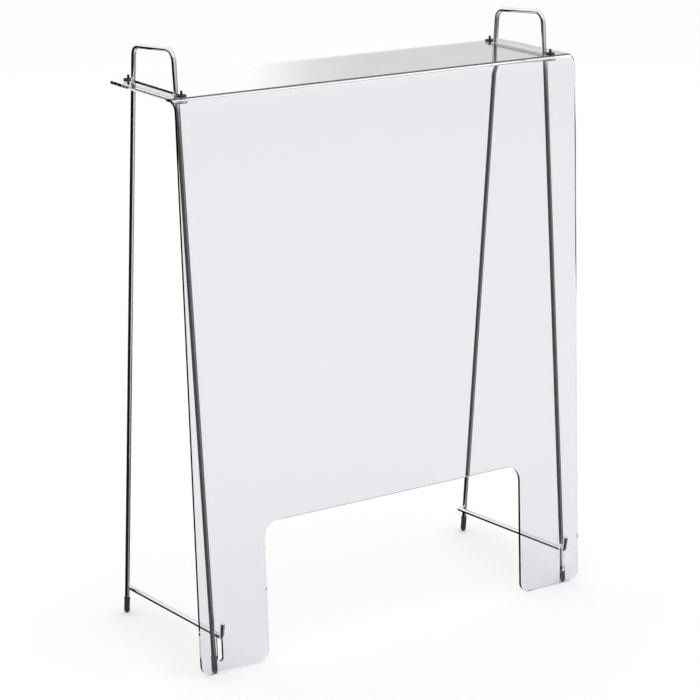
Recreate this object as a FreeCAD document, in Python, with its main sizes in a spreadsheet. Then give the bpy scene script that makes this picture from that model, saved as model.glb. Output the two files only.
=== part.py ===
# A clear acrylic desk screen that hooks over two chrome wire stands.
# Millimetres, +Z up, +X to the sitter's right, +Y to the rear.
# The origin is on the desk, under the middle of the whole object.
import FreeCAD, Part
import math
import os

import Sketcher

SIZES = {
    # The clear sheet, bent once into an upright with a flange on top.
    "screen_width": 600,
    "flange_height": 726.4,
    "flange_depth": 166,
    "sheet_thickness": 4,
    "bend_inner_radius": 12,
    "bend_corner_y": -82,
    "screen_lean": 2.94,
    "screen_floor_gap": 1.4,
    "flange_corner_radius": 2,
    "leg_corner_radius": 14,
    # The pass-through between the two legs of the upright.
    "leg_width": 99,
    "cutout_top": 184,
    "cutout_radius": 22,
    # The slots in the legs that the hooks come through.
    "hook_slot_side_gap": 1,
    "hook_slot_headroom": 6.31,
    "hook_slot_length": 40,
    # The wire stands: an upside-down U whose closed end is the handle.
    "stand_inset": 22,
    "wire_diameter": 6,
    "rear_foot_reach": 37.5,
    "front_foot_gap": 0.3,
    "handle_rise": 44.6,
    "handle_tilt": 4.7,
    "handle_corner_radius": 15,
    "flange_slot_side_gap": 1.25,
    "flange_slot_end_gap": 2,
    # The cross bar low on each stand, with its hook at the front.
    "bar_diameter": 6,
    "bar_rear_height": 34,
    "bar_front_height": 49,
    "bar_overhang": 6,
    "weld_depth": 0.3,
    "hook_bend_radius": 5,
    "hook_height": 20,
    "hook_flare": 9,
    "hook_gap": 1.6,
    # The saddle plate that carries the flange, with a pin at each end.
    "saddle_wall": 3.5,
    "saddle_thickness": 3,
    "pin_diameter": 3,
    "pin_reach": 13,
    "pin_stand": 6.5,
    "pin_tip_radius": 1,
    # The rubber grommets round the pins.
    "grommet_wall": 2,
    "grommet_lip": 2.25,
    "grommet_top_lip": 1.4,
    "grommet_bottom_lip": 1,
    "grommet_lip_radius": 0.45,
    "pin_clearance": 0.5,
    "seat_gap": 0.3,
    "grommet_edge_gap": 1.05,
    "grommet_bend_gap": 3.34,
    # The rubber caps on the four feet.
    "cap_wall": 1,
    "cap_length": 22,
    "cap_floor": 4,
    "cap_flat_depth": 0.3,
    "cap_rim_radius": 0.4,
}

# What follows from the sizes, as formulas that the same spreadsheet works out.
FOLLOWING = {
    "half_sheet": "screen_width / 2",
    "half_cutout": "half_sheet - leg_width",
    "screen_slope": "tan(screen_lean)",
    "sheet_along_y": "sheet_thickness / cos(screen_lean)",
    "flange_underside": "flange_height - sheet_thickness",
    "flange_rear_y": "bend_corner_y + flange_depth",
    "inner_corner_y": "bend_corner_y - sheet_thickness * screen_slope + sheet_along_y",
    "wire_radius": "wire_diameter / 2",
    "bar_radius": "bar_diameter / 2",
    "cap_radius": "wire_radius + cap_wall",
    "stand_offset": "half_sheet - stand_inset",
    "bar_offset": "stand_offset - wire_radius - bar_radius + weld_depth",
    # The grommets keep clear of the flange's rear edge and of the bend.
    "grommet_bore": "pin_diameter / 2 + pin_clearance",
    "grommet_neck": "grommet_bore + grommet_wall",
    "grommet_rim": "grommet_neck + grommet_lip",
    "rear_pin_y": "flange_rear_y - grommet_edge_gap - grommet_rim",
    "front_pin_y": "inner_corner_y + bend_inner_radius + grommet_bend_gap + grommet_rim",
    # The legs run from beside the pins to the feet, which keep clear of the upright.
    "rear_foot_y": "flange_rear_y + rear_foot_reach",
    "front_foot_y": "bend_corner_y - flange_height * screen_slope + sheet_along_y"
                    " + front_foot_gap + cap_radius",
    "rear_slope": "(rear_foot_y - rear_pin_y + pin_reach) / flange_height",
    "front_slope": "(front_pin_y + pin_reach - front_foot_y) / flange_height",
    "rear_lean": "atan(rear_slope)",
    "front_lean": "atan(front_slope)",
    "bar_rear_y": "rear_foot_y - bar_rear_height * rear_slope",
    "bar_front_y": "front_foot_y + bar_front_height * front_slope",
    "bar_slope": "(bar_front_height - bar_rear_height) / (bar_rear_y - bar_front_y)",
    # The hook slots keep their headroom over the bar.
    "slot_y": "bend_corner_y - (flange_height - bar_front_height) * screen_slope",
    "slot_top": "bar_rear_height + (bar_rear_y - slot_y) * bar_slope + hook_slot_headroom",
    "slot_half_width": "bar_radius + hook_slot_side_gap",
    "saddle_top": "flange_underside - grommet_bottom_lip - seat_gap",
    "saddle_bottom": "saddle_top - saddle_thickness",
}
SIDES = {"left": -1, "right": 1}
ENDS = ("rear", "front")


def rear_leg_y(height):
    """Where the rear leg's centre line is at a height above the desk."""
    return f"(Sizes.rear_foot_y - {height} * Sizes.rear_slope)"


def front_leg_y(height):
    """Where the front leg's centre line is at a height above the desk."""
    return f"(Sizes.front_foot_y + {height} * Sizes.front_slope)"


def screen_front_y(height):
    """Where the front face of the upright is at a height above the desk."""
    return f"(Sizes.bend_corner_y - (Sizes.flange_height - {height}) * Sizes.screen_slope)"


def bar_height(y):
    """The height of the cross bar's centre line at a place along Y."""
    return f"(Sizes.bar_rear_height + (Sizes.bar_rear_y - {y}) * Sizes.bar_slope)"


NEAR = 0.01

doc = FreeCAD.newDocument("desk_screen")
sheet = doc.addObject("Spreadsheet::Sheet", "Sizes")
cells = {name: str(number) for name, number in SIZES.items()}
cells.update({name: f"={formula}" for name, formula in FOLLOWING.items()})
for row, name in enumerate(cells, start=1):
    sheet.set(f"A{row}", name)
    sheet.setAlias(f"B{row}", name)
for row, content in enumerate(cells.values(), start=1):
    sheet.set(f"B{row}", content)
doc.recompute()
parts = []


def value(expression):
    """The number that an expression has now."""
    return float(sheet.evalExpression(expression))


def new_body(label):
    """A PartDesign body that becomes one file of its own."""
    body = doc.addObject("PartDesign::Body", label)
    body.Label = label
    parts.append(body)
    return body


def place(body, x="0", y="0", z="0", tilt=None):
    """Bind a body's place, and its turn about X, to the sheet."""
    body.setExpression("Placement.Base.x", x)
    body.setExpression("Placement.Base.y", y)
    body.setExpression("Placement.Base.z", z)
    if tilt is not None:
        body.Placement.Rotation = FreeCAD.Rotation(FreeCAD.Vector(1, 0, 0), value(tilt))
        body.setExpression("Placement.Rotation.Angle", tilt)


class Drawing:
    """A sketch on one of a body's own origin planes, with its sizes bound to expressions."""

    def __init__(self, body, name, role):
        self.sketch = body.newObject("Sketcher::SketchObject", name)
        self.bound = []
        if role is not None:
            plane = next(item for item in body.Origin.OriginFeatures if item.Role == role)
            self.sketch.AttachmentSupport = [(plane, "")]
            self.sketch.MapMode = "FlatFace"

    def hold(self, kind, *places, expression):
        """Add a dimension that an expression will drive."""
        constraint = Sketcher.Constraint(kind, *places, value(expression))
        self.bound.append((self.sketch.addConstraint(constraint), expression))

    def hold_point(self, geometry, end, x, y):
        """Hold one point of the drawing at two expressions."""
        self.hold("DistanceX", -1, 1, geometry, end, expression=x)
        self.hold("DistanceY", -1, 1, geometry, end, expression=y)

    def finish(self):
        """Solve the drawing once, and then let the expressions drive it."""
        doc.recompute()
        for index, expression in self.bound:
            self.sketch.setExpression(f"Constraints[{index}]", expression)
        doc.recompute()
        return self.sketch

    def join_arc(self, arc, run, run_end):
        """Make an arc leave the end of a run smoothly."""
        curve = self.sketch.Geometry[arc]
        line = self.sketch.Geometry[run]
        point = line.StartPoint if run_end == 1 else line.EndPoint
        from_start = curve.StartPoint.distanceToPoint(point)
        from_end = curve.EndPoint.distanceToPoint(point)
        arc_end = 1 if from_start < from_end else 2
        self.sketch.addConstraint(Sketcher.Constraint("Tangent", arc, arc_end, run, run_end))

    def outline(self, corners):
        """Straight runs through corners of (x, y) and back to the first."""
        places = [FreeCAD.Vector(value(x), value(y), 0) for x, y in corners]
        runs = [self.sketch.addGeometry(Part.LineSegment(places[i - 1], places[i]))
                for i in range(len(places))]
        for i, (x, y) in enumerate(corners):
            next_run = runs[(i + 1) % len(runs)]
            self.sketch.addConstraint(Sketcher.Constraint("Coincident", runs[i], 2, next_run, 1))
            self.hold_point(runs[i], 2, x, y)

    def rounded_path(self, corners, radius):
        """Straight runs from the first corner to the last, with an arc at each one between."""
        places = [FreeCAD.Vector(value(x), value(y), 0) for x, y in corners]
        leave = list(places)
        arrive = list(places)
        arcs = {}
        for i in range(1, len(places) - 1):
            before = (places[i - 1] - places[i]).normalize()
            after = (places[i + 1] - places[i]).normalize()
            half_turn = before.getAngle(after) / 2
            inward = (before + after).normalize()
            arrive[i] = places[i] + before * (value(radius) / math.tan(half_turn))
            leave[i] = places[i] + after * (value(radius) / math.tan(half_turn))
            nearest = places[i] + inward * (value(radius) / math.sin(half_turn) - value(radius))
            turns_left = before.cross(after).z < 0
            ends = (arrive[i], leave[i]) if turns_left else (leave[i], arrive[i])
            arcs[i] = self.sketch.addGeometry(Part.Arc(ends[0], nearest, ends[1]))
        runs = [self.sketch.addGeometry(Part.LineSegment(leave[i], arrive[i + 1]))
                for i in range(len(places) - 1)]
        self.hold_point(runs[0], 1, *corners[0])
        self.hold_point(runs[-1], 2, *corners[-1])
        for i, arc in arcs.items():
            crossing = self.sketch.addGeometry(Part.Point(places[i]), True)
            for run in runs[i - 1:i + 1]:
                self.sketch.addConstraint(Sketcher.Constraint("PointOnObject", crossing, 1, run))
            self.hold_point(crossing, 1, *corners[i])
            self.join_arc(arc, runs[i - 1], 2)
            self.join_arc(arc, runs[i], 1)
            self.hold("Radius", arc, expression=radius)

    def circle(self, x, y, radius):
        """A circle with its centre at two expressions."""
        centre = FreeCAD.Vector(value(x), value(y), 0)
        ring = Part.Circle(centre, FreeCAD.Vector(0, 0, 1), value(radius))
        index = self.sketch.addGeometry(ring)
        self.hold_point(index, 3, x, y)
        self.hold("Radius", index, expression=radius)

    def round_slot(self, x, low, high, radius):
        """A slot along the drawing's Y, with round ends centred at low and high."""
        across = FreeCAD.Vector(value(radius), 0, 0)
        along = FreeCAD.Vector(0, value(radius), 0)
        bottom = FreeCAD.Vector(value(x), value(low), 0)
        top = FreeCAD.Vector(value(x), value(high), 0)
        low_end, right_side, high_end, left_side = self.sketch.addGeometry([
            Part.Arc(bottom - across, bottom - along, bottom + across),
            Part.LineSegment(bottom + across, top + across),
            Part.Arc(top + across, top + along, top - across),
            Part.LineSegment(top - across, bottom - across),
        ])
        self.join_arc(low_end, right_side, 1)
        self.join_arc(low_end, left_side, 2)
        self.join_arc(high_end, right_side, 2)
        self.join_arc(high_end, left_side, 1)
        self.hold_point(low_end, 3, x, low)
        self.hold("DistanceY", -1, 1, high_end, 3, expression=high)
        self.hold("Radius", low_end, expression=radius)
        self.sketch.addConstraint(Sketcher.Constraint("Vertical", right_side))


def cut_through(body, name, drawing):
    """Pocket a drawing through the whole body, both ways, and make sure that it cut."""
    sketch = drawing.finish()
    before = body.Shape.Volume
    pocket = body.newObject("PartDesign::Pocket", name)
    pocket.Profile = sketch
    pocket.Type = 1
    pocket.Midplane = True
    doc.recompute()
    if body.Shape.Volume >= before:
        raise RuntimeError(f"{name} cut nothing")


def round_edges(body, name, radius, chosen):
    """Fillet the edges of the body's last feature that a test chooses."""
    doc.recompute()
    tip = body.Tip
    names = [f"Edge{i}" for i, edge in enumerate(tip.Shape.Edges, start=1) if chosen(edge)]
    if not names:
        raise RuntimeError(f"{name} found no edges")
    fillet = body.newObject("PartDesign::Fillet", name)
    fillet.Base = (tip, names)
    fillet.setExpression("Radius", radius)
    doc.recompute()


def runs_across(edge, y, z):
    """Whether an edge runs the whole way across, along X, at a place in Y and Z."""
    middle = edge.CenterOfMass
    return abs(middle.x) < NEAR and abs(middle.y - y) < NEAR and abs(middle.z - z) < NEAR


def runs_along(edge, axis, distance_out):
    """Whether a straight edge runs along an axis, at a distance out from the middle in X."""
    direction = getattr(edge.tangentAt(edge.FirstParameter), axis)
    return abs(direction) > 0.9 and abs(abs(edge.CenterOfMass.x) - distance_out) < NEAR


def bend_wire(body, corners, bend_radius, wire_radius):
    """Sweep a round wire along rounded straight runs in the body's own YZ plane."""
    route = Drawing(body, "Path", "YZ_Plane")
    route.rounded_path(corners, bend_radius)
    path = route.finish()
    x, y = corners[0]
    start = Part.Vertex(0, value(x), value(y))
    names = [f"Edge{i}" for i in range(1, len(path.Shape.Edges) + 1)]
    first = next(name for name in names
                 if path.Shape.getElement(name).distToShape(start)[0] < NEAR)
    section = Drawing(body, "WireSection", None)
    section.sketch.AttachmentSupport = [(path, first)]
    section.sketch.MapMode = "NormalToEdge"
    section.circle("0", "0", wire_radius)
    pipe = body.newObject("PartDesign::AdditivePipe", "Wire")
    pipe.Profile = section.finish()
    pipe.Spine = (path, names)
    doc.recompute()


def build_screen():
    """The bent sheet, with its pass-through, hook slots, flange slots and grommet holes."""
    body = new_body("screen_panel")
    top = "Sizes.flange_height"
    under = "Sizes.flange_underside"
    gap = "Sizes.screen_floor_gap"
    rear = "Sizes.flange_rear_y"
    inner_corner = "Sizes.inner_corner_y"
    profile = Drawing(body, "BentSheet", "YZ_Plane")
    profile.outline([
        (screen_front_y(gap), gap),
        (screen_front_y(top), top),
        (rear, top),
        (rear, under),
        (inner_corner, under),
        (f"{screen_front_y(gap)} + Sizes.sheet_along_y", gap),
    ])
    pad = body.newObject("PartDesign::Pad", "Sheet")
    pad.Profile = profile.finish()
    pad.Midplane = True
    pad.setExpression("Length", "Sizes.screen_width")
    doc.recompute()
    top_y = value(screen_front_y(top))
    inner_y = value(inner_corner)
    round_edges(body, "BendOutside", "Sizes.bend_inner_radius + Sizes.sheet_thickness",
                lambda edge: runs_across(edge, top_y, value(top)))
    round_edges(body, "BendInside", "Sizes.bend_inner_radius",
                lambda edge: runs_across(edge, inner_y, value(under)))

    half_cutout = "Sizes.half_cutout"
    cutout = Drawing(body, "PassThrough", "XZ_Plane")
    cutout.outline([
        (f"-{half_cutout}", "-Sizes.cutout_top"),
        (half_cutout, "-Sizes.cutout_top"),
        (half_cutout, "Sizes.cutout_top"),
        (f"-{half_cutout}", "Sizes.cutout_top"),
    ])
    cut_through(body, "CutPassThrough", cutout)

    for side, sign in SIDES.items():
        slot = Drawing(body, f"{side.title()}HookSlot", "XZ_Plane")
        half = "Sizes.slot_half_width"
        slot_top = "Sizes.slot_top"
        slot.round_slot(f"{sign} * Sizes.bar_offset",
                        f"{slot_top} - Sizes.hook_slot_length + {half}",
                        f"{slot_top} - {half}", half)
        cut_through(body, f"Cut{side.title()}HookSlot", slot)

        flange = Drawing(body, f"{side.title()}FlangeOpenings", "XY_Plane")
        middle = f"{sign} * Sizes.stand_offset"
        half_wide = "Sizes.wire_radius + Sizes.flange_slot_side_gap"
        ends = "(Sizes.flange_slot_end_gap - Sizes.flange_slot_side_gap)"
        flange.round_slot(middle, f"{front_leg_y(under)} - {ends}",
                          f"{rear_leg_y(under)} + {ends}", half_wide)
        for end in ENDS:
            flange.circle(middle, f"Sizes.{end}_pin_y", "Sizes.grommet_neck")
        cut_through(body, f"Cut{side.title()}FlangeOpenings", flange)

    sheet_side = value("Sizes.half_sheet")
    opening_side = value(half_cutout)
    rear_y = value(rear)
    round_edges(body, "RoundPassThrough", "Sizes.cutout_radius",
                lambda edge: runs_along(edge, "y", opening_side)
                and abs(edge.CenterOfMass.z - value("Sizes.cutout_top")) < NEAR)
    round_edges(body, "RoundLegs", "Sizes.leg_corner_radius",
                lambda edge: abs(edge.CenterOfMass.z - value(gap)) < NEAR
                and (runs_along(edge, "y", opening_side) or runs_along(edge, "y", sheet_side)))
    round_edges(body, "RoundFlangeCorners", "Sizes.flange_corner_radius",
                lambda edge: runs_along(edge, "z", sheet_side)
                and abs(edge.CenterOfMass.y - rear_y) < NEAR)


def build_grommet(side, end):
    """A rubber ring with a groove that the flange's hole edge sits in."""
    body = new_body(f"{side}_{end}_grommet")
    bore = "Sizes.grommet_bore"
    neck = "Sizes.grommet_neck"
    rim = "Sizes.grommet_rim"
    low = "-Sizes.grommet_bottom_lip"
    groove_top = "Sizes.sheet_thickness"
    high = f"({groove_top} + Sizes.grommet_top_lip)"
    profile = Drawing(body, "GroovedRing", "XZ_Plane")
    profile.outline([
        (bore, low),
        (rim, low),
        (rim, "0"),
        (neck, "0"),
        (neck, groove_top),
        (rim, groove_top),
        (rim, high),
        (bore, high),
    ])
    ring = body.newObject("PartDesign::Revolution", "Ring")
    ring.Profile = profile.finish()
    ring.ReferenceAxis = (profile.sketch, ["V_Axis"])
    ring.Angle = 360
    doc.recompute()
    rim_radius = value(rim)
    round_edges(body, "RoundLips", "Sizes.grommet_lip_radius",
                lambda edge: abs(edge.BoundBox.XMax - rim_radius) < NEAR
                and edge.BoundBox.ZLength < NEAR)
    place(body, f"{SIDES[side]} * Sizes.stand_offset", f"Sizes.{end}_pin_y",
          "Sizes.flange_underside")


def build_frame(side):
    """One wire bent into two legs and the handle between them."""
    body = new_body(f"{side}_wire_frame")
    handle = "(Sizes.flange_height + Sizes.handle_rise)"
    handle_slope = "tan(Sizes.handle_tilt)"
    run = (f"(({rear_leg_y(handle)} - {front_leg_y(handle)})"
           f" / (1 + {handle_slope} * Sizes.front_slope))")
    handle_front = f"({handle} + {run} * {handle_slope})"
    wire_end = "Sizes.cap_floor"
    bend_wire(body, [
        (rear_leg_y(wire_end), wire_end),
        (rear_leg_y(handle), handle),
        (front_leg_y(handle_front), handle_front),
        (front_leg_y(wire_end), wire_end),
    ], "Sizes.handle_corner_radius", "Sizes.wire_radius")
    place(body, f"{SIDES[side]} * Sizes.stand_offset")


def build_hook_bar(side):
    """The thin cross bar, welded beside both legs, whose front end turns up into a hook."""
    body = new_body(f"{side}_hook_bar")
    rear_end = "(Sizes.bar_rear_y + Sizes.bar_overhang)"
    hook_y = "(Sizes.slot_y - Sizes.hook_gap - Sizes.bar_radius)"
    corner_height = f"({bar_height(hook_y)})"
    tip_y = f"({hook_y} - Sizes.hook_height * tan(Sizes.hook_flare))"
    bend_wire(body, [
        (rear_end, bar_height(rear_end)),
        (hook_y, corner_height),
        (tip_y, f"({corner_height} + Sizes.hook_height)"),
    ], "Sizes.hook_bend_radius", "Sizes.bar_radius")
    place(body, f"{SIDES[side]} * Sizes.bar_offset")


def build_saddle(side):
    """The flat plate under the flange, with holes for the two legs and the two pins."""
    body = new_body(f"{side}_saddle_plate")
    outline = Drawing(body, "Plate", "XY_Plane")
    outline.round_slot("0", "Sizes.front_pin_y", "Sizes.rear_pin_y",
                       "Sizes.wire_radius + Sizes.saddle_wall")
    pad = body.newObject("PartDesign::Pad", "Strip")
    pad.Profile = outline.finish()
    pad.setExpression("Length", "Sizes.saddle_thickness")
    holes = Drawing(body, "Holes", "XY_Plane")
    mid_plate = "(Sizes.saddle_top - Sizes.saddle_thickness / 2)"
    for leg_y in (rear_leg_y(mid_plate), front_leg_y(mid_plate)):
        holes.circle("0", leg_y, "Sizes.wire_radius")
    for end in ENDS:
        holes.circle("0", f"Sizes.{end}_pin_y", "Sizes.pin_diameter / 2")
    cut_through(body, "CutHoles", holes)
    place(body, f"{SIDES[side]} * Sizes.stand_offset", z="Sizes.saddle_bottom")


def build_pin(side, end):
    """A locating pin, pressed into the saddle plate and standing above the flange."""
    body = new_body(f"{side}_{end}_pin")
    pin = body.newObject("PartDesign::AdditiveCylinder", "Pin")
    pin.setExpression("Radius", "Sizes.pin_diameter / 2")
    length = "Sizes.flange_height + Sizes.pin_stand - Sizes.saddle_bottom"
    pin.setExpression("Height", length)
    doc.recompute()
    tip = value(length)
    round_edges(body, "RoundTip", "Sizes.pin_tip_radius",
                lambda edge: abs(edge.BoundBox.ZMin - tip) < 0.01)
    place(body, f"{SIDES[side]} * Sizes.stand_offset", f"Sizes.{end}_pin_y",
          "Sizes.saddle_bottom")


def build_cap(side, end):
    """A rubber cap on the foot of a leg, domed, with a small flat that meets the desk."""
    body = new_body(f"{side}_{end}_foot_cap")
    lean = "Sizes.rear_lean" if end == "rear" else "-Sizes.front_lean"
    radius = "Sizes.cap_radius"
    dome_height = f"({radius} - Sizes.cap_flat_depth) / cos({lean})"
    wire_end = f"(Sizes.cap_floor / cos({lean}))"
    sleeve = body.newObject("PartDesign::AdditiveCylinder", "Sleeve")
    sleeve.setExpression("Radius", radius)
    sleeve.setExpression("Height", f"Sizes.cap_length - {dome_height}")
    sleeve.setExpression("Placement.Base.z", dome_height)
    doc.recompute()
    rim = value("Sizes.cap_length")
    round_edges(body, "RoundRim", "Sizes.cap_rim_radius",
                lambda edge: abs(edge.BoundBox.ZMin - rim) < 0.01)
    dome = body.newObject("PartDesign::AdditiveSphere", "Dome")
    dome.setExpression("Radius", radius)
    dome.setExpression("Placement.Base.z", dome_height)
    bore = body.newObject("PartDesign::SubtractiveCylinder", "Bore")
    bore.setExpression("Radius", "Sizes.wire_radius")
    bore.setExpression("Height", "Sizes.cap_length")
    bore.setExpression("Placement.Base.z", wire_end)
    under_desk = body.newObject("PartDesign::SubtractiveBox", "DeskFlat")
    for length in ("Length", "Width", "Height"):
        under_desk.setExpression(length, "Sizes.cap_length")
    under_desk.Placement.Rotation = FreeCAD.Rotation(FreeCAD.Vector(1, 0, 0), -value(lean))
    under_desk.setExpression("Placement.Rotation.Angle", f"-({lean})")
    under_desk.setExpression("Placement.Base.x", "-Sizes.cap_length / 2")
    half = "Sizes.cap_length / 2"
    along = f"(-{half} * cos({lean}) - Sizes.cap_length * sin({lean}))"
    down = f"({half} * sin({lean}) - Sizes.cap_length * cos({lean}))"
    under_desk.setExpression("Placement.Base.y", along)
    under_desk.setExpression("Placement.Base.z", down)
    place(body, f"{SIDES[side]} * Sizes.stand_offset", f"Sizes.{end}_foot_y", tilt=lean)


def check_document():
    """Stop if any object failed, or if any sub-part isn't one sound solid."""
    for item in doc.Objects:
        if "Invalid" in item.State or "Error" in item.State:
            raise RuntimeError(f"{item.Name} is in state {item.State}")
    for part in parts:
        shape = part.Shape
        if shape.isNull() or not shape.isValid() or len(shape.Solids) != 1:
            raise RuntimeError(f"{part.Label} isn't one sound solid")


def export_parts():
    """Write each sub-part to a file that has its name."""
    os.makedirs("parts", exist_ok=True)
    for part in parts:
        part.Shape.exportStep(f"parts/{part.Label}.step")
        box = part.Shape.BoundBox
        print(f"{part.Label:22} {part.Shape.Volume:10.1f} mm3  "
              f"x {box.XMin:.2f} {box.XMax:.2f}  y {box.YMin:.2f} {box.YMax:.2f}  "
              f"z {box.ZMin:.2f} {box.ZMax:.2f}")


build_screen()
for side in SIDES:
    build_frame(side)
    build_hook_bar(side)
    build_saddle(side)
    for end in ENDS:
        build_pin(side, end)
        build_grommet(side, end)
        build_cap(side, end)
doc.recompute()
check_document()
export_parts()
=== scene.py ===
"""A clear desk screen hooked over two chrome wire stands: its finished surfaces and its stage."""
import math

import bpy
from mathutils import Matrix, Vector


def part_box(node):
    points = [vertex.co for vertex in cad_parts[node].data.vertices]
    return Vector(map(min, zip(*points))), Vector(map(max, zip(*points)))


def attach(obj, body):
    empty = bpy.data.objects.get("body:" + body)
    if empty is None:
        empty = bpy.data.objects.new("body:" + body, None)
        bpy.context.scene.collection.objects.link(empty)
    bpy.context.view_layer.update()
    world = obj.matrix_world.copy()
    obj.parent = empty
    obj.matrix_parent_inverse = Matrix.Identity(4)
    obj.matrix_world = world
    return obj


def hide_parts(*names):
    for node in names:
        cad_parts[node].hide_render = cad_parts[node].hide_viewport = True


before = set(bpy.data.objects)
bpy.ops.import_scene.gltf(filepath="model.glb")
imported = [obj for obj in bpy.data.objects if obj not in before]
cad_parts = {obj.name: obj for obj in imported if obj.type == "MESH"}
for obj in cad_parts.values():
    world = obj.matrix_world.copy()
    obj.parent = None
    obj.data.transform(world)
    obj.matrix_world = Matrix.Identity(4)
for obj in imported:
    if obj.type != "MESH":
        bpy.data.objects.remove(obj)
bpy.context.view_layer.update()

bl_info = {
    "name": "Desk Screen",
    "version": (1, 0, 0),
    "blender": (4, 5, 0),
    "location": "View3D > Sidebar > Desk Screen",
    "description": "Builds a clear desk screen on two chrome wire stands",
    "category": "Add Mesh",
}

SIDES = ("left", "right")
ENDS = ("rear", "front")
X_AXIS = Vector((1, 0, 0))

# Distances below which two places count as one, in metres.
SAME = 1e-5
SAME_SIDE = 1e-6
MERGE_DRAWN = 1e-7
MERGE_FINISHED = 1e-6

# Parts of a unit direction above which it runs along, or a face looks along, an axis.
ALONG = 0.99
FACING = 0.9

# How finely round shapes are cut up: faces round a piece, steps round a bend or a corner.
PLATE_SIDES = 64
CUTTER_SIDES = 48
SOFT_SIDES = 48
FILLET_SIDES = 40
PIN_SIDES = 32
BEAD_SIDES, BEAD_RINGS = 24, 14
SHEET_BEND_STEPS = 30
OPENING_STEPS, LEG_STEPS, FLANGE_STEPS = 16, 14, 6
FLOOR_SIDES = 96
WIRE_BEND_STEP = math.radians(4)
MIN_BEND_STEPS = 6

# Edges between faces turned further than this are sharp, and are eased.
SHARP = math.radians(40)

# How deep cutters are: well over the thickness of what they cut.
CUTTER_DEPTH = 0.04
OPENING_DEPTH = 0.1


# Sizes and finishes that a user would change.

def length_setting(name, description, default):
    """A length in metres."""
    return bpy.props.FloatProperty(name=name, description=description, default=default,
                                   unit="LENGTH")


def angle_setting(name, description, default):
    """An angle in radians."""
    return bpy.props.FloatProperty(name=name, description=description, default=default,
                                   subtype="ANGLE")


def colour_setting(name, description, default):
    """A colour of three channels from 0 to 1."""
    return bpy.props.FloatVectorProperty(name=name, description=description, default=default,
                                         size=3, subtype="COLOR", min=0, max=1)


class SheetSettings(bpy.types.PropertyGroup):
    """The clear sheet."""
    lean: angle_setting("Lean", "How far the upright leans back from vertical", math.radians(2.94))
    thickness: length_setting("Thickness", "Thickness of the sheet", 0.004)
    bend_radius: length_setting("Bend Radius", "Inside radius of the bend", 0.012)
    leg_corner: length_setting("Leg Corner", "Radius of the corners at the bottom of the legs",
                               0.014)
    leg_width: length_setting("Leg Width", "Width of each leg beside the opening", 0.099)
    opening_top: length_setting("Opening Top", "Height of the opening's top", 0.184)
    opening_corner: length_setting("Opening Corner", "Radius of the opening's upper corners", 0.022)
    hook_slot_width: length_setting(
        "Hook Slot Width", "Width of the slots that the hooks come through", 0.008)
    hook_slot_bottom: length_setting("Hook Slot Bottom", "Height of the hook slots' bottom", 0.016)
    hook_slot_length: length_setting("Hook Slot Length", "Length of the hook slots", 0.040)
    grommet_hole: length_setting("Grommet Hole", "Diameter of the holes for the grommets", 0.008)
    flange_corner: length_setting("Flange Corner", "Radius of the flange's rear corners", 0.002)
    polish: length_setting("Edge Polish", "Width that polishing takes off each sharp edge", 0.00035)
    tint: colour_setting("Tint", "What the sheet lets through, from face to face",
                         (0.833, 0.827, 0.858))
    # The edge colour is painted shade: near black where the clear sheet's cut edges look dark from
    # shade and dark reflections.
    edge_painted_shade: colour_setting("Edge Tint", "What a cut edge lets through", (0.030, 0.030, 0.036))


class WireSettings(bpy.types.PropertyGroup):
    """The wire stands and the cross bars."""
    radius: length_setting("Wire Radius", "Radius of the frame's wire", 0.003)
    rear_foot: length_setting("Rear Foot", "Place of the rear feet along Y", 0.1215)
    front_foot: length_setting("Front Foot", "Place of the front feet along Y", -0.111)
    foot_end: length_setting("Wire End", "Height of the wire's ends inside the caps", 0.004)
    handle_height: length_setting("Handle Height", "Height of the handle's rear corner", 0.771)
    slot_side_gap: length_setting("Slot Side Gap", "Gap beside the wire in the flange's slot",
                                  0.00125)
    slot_end_gap: length_setting("Slot End Gap", "Gap beyond the wire in the flange's slot", 0.002)
    pin_radius: length_setting("Pin Radius", "Radius of the pins", 0.0015)
    bar_heights: bpy.props.FloatVectorProperty(
        name="Bar Heights", description="Heights of the cross bar at the rear and front legs",
        default=(0.034, 0.049), size=2, unit="LENGTH")
    rear_lean: angle_setting("Rear Lean", "Lean of the rear legs from vertical", math.radians(4.55))
    front_lean: angle_setting("Front Lean", "Lean of the front legs from vertical",
                              math.radians(5.3))
    handle_tilt: angle_setting("Handle Tilt", "Rise of the handle towards the front",
                               math.radians(4.7))
    handle_corner: length_setting(
        "Handle Corner", "Bend radius of the handle, at the wire's middle", 0.015)
    hook_corner: length_setting("Hook Corner", "Bend radius of the hook, at the wire's middle",
                                0.005)
    hook_flare: angle_setting("Hook Flare", "Lean of the hook away from the sheet", math.radians(9))
    bar_rise: angle_setting("Bar Rise", "Rise of the cross bar towards the front",
                            math.radians(3.81))
    weld_depth: length_setting("Weld Depth", "How far a cross bar is sunk into a leg", 0.0003)
    round_sides: bpy.props.IntProperty(
        name="Round Sides", description="Faces round a wire", default=40, min=12)
    plating: colour_setting("Plating", "Colour of the chrome plating", (0.72, 0.72, 0.75))


class RubberSettings(bpy.types.PropertyGroup):
    """The foot caps and the grommets."""
    colour: colour_setting("Colour", "Colour of the rubber", (0.022, 0.022, 0.025))
    pin_clearance: length_setting("Pin Clearance", "Gap between a pin and its grommet", 0.0005)
    grommet_rim: length_setting("Grommet Rim", "Radius of a grommet's lips", 0.00625)
    grommet_bottom_lip: length_setting("Grommet Bottom Lip", "Thickness of a grommet's bottom lip",
                                       0.001)
    cap_radius: length_setting("Cap Radius", "Radius of a foot cap", 0.004)
    cap_length: length_setting("Cap Length", "Length of a foot cap", 0.022)
    cap_flat: length_setting("Cap Flat", "How much of the cap's dome the desk flattens", 0.0003)
    bead: length_setting("Rim Bead", "How far the bead at a cap's rim stands out", 0.0002)


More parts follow.
